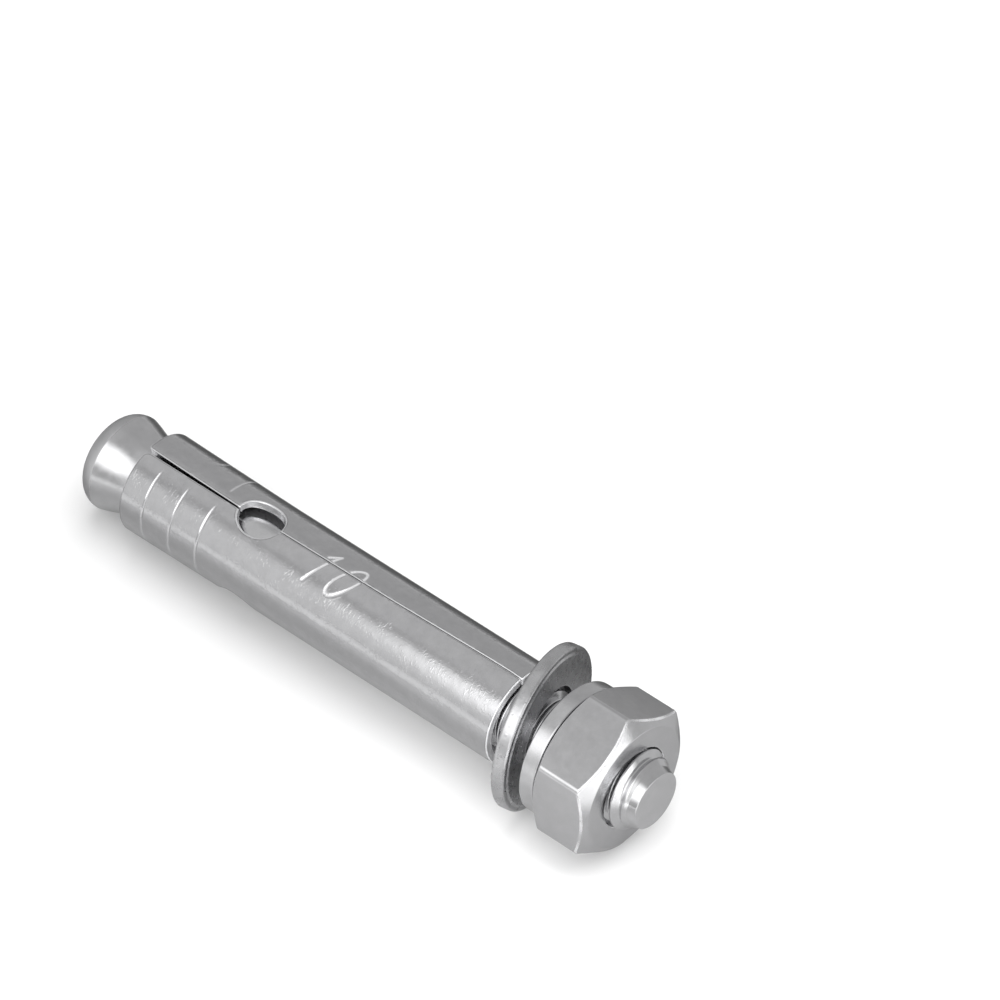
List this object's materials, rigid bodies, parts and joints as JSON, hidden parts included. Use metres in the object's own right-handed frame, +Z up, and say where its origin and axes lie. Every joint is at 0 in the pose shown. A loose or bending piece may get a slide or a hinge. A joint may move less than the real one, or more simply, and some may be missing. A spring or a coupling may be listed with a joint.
{
  "type": "sleeve anchor",
  "caption": "Expansion sleeve anchor lying on its side: cone-ended threaded stud, rolled sleeve with slits, plain washer, split spring washer and hexagon nut.",
  "frame": {"origin": "on the floor, under the middle of the box of the anchor as it lies", "axes": "+X along the anchor from its cone head towards the nut, +Z up; the anchor's own axis climbs 3.2 degrees towards the nut because the plain washer is larger than the head"},
  "size_m": [0.0836, 0.0198, 0.0202],
  "materials": {
    "stud_steel": "polished stainless steel, turned",
    "sleeve_steel": "rolled stainless sheet, tumbled bright",
    "washer_steel": "stamped stainless steel, tumbled",
    "spring_steel": "bright coiled stainless steel",
    "nut_steel": "bright stainless steel"
  },
  "bodies": {
    "stud": {"cone_stud": "stud_steel"},
    "sleeve": {"expansion_sleeve": "sleeve_steel"},
    "plain_washer": {"flat_washer": "washer_steel"},
    "lock_washer": {"spring_washer": "spring_steel"},
    "nut": {"hex_nut": "nut_steel"}
  },
  "joints": [
    {"name": "sleeve_slide", "type": "slide", "parent": "stud", "child": "sleeve", "axis": [0.9984, 0, 0.0558], "range_m": [-0.0017, 0.0002]},
    {"name": "plain_washer_slide", "type": "slide", "parent": "stud", "child": "plain_washer", "axis": [0.9984, 0, 0.0558], "range_m": [-0.0002, 0.0003]},
    {"name": "nut_advance", "type": "slide", "parent": "stud", "child": "lock_washer", "axis": [0.9984, 0, 0.0558], "range_m": [-0.00031, 0.01051]},
    {"name": "nut_turn", "type": "hinge", "parent": "lock_washer", "child": "nut", "pos_m": [0.03462, 0, 0.01025], "axis": [0.9984, 0, 0.0558], "range_deg": [-72, 2520]}
  ],
  "couplings": [
    {"joint": "nut_advance", "follows": "nut_turn", "m_per_rad": 0.00023873}
  ]
}
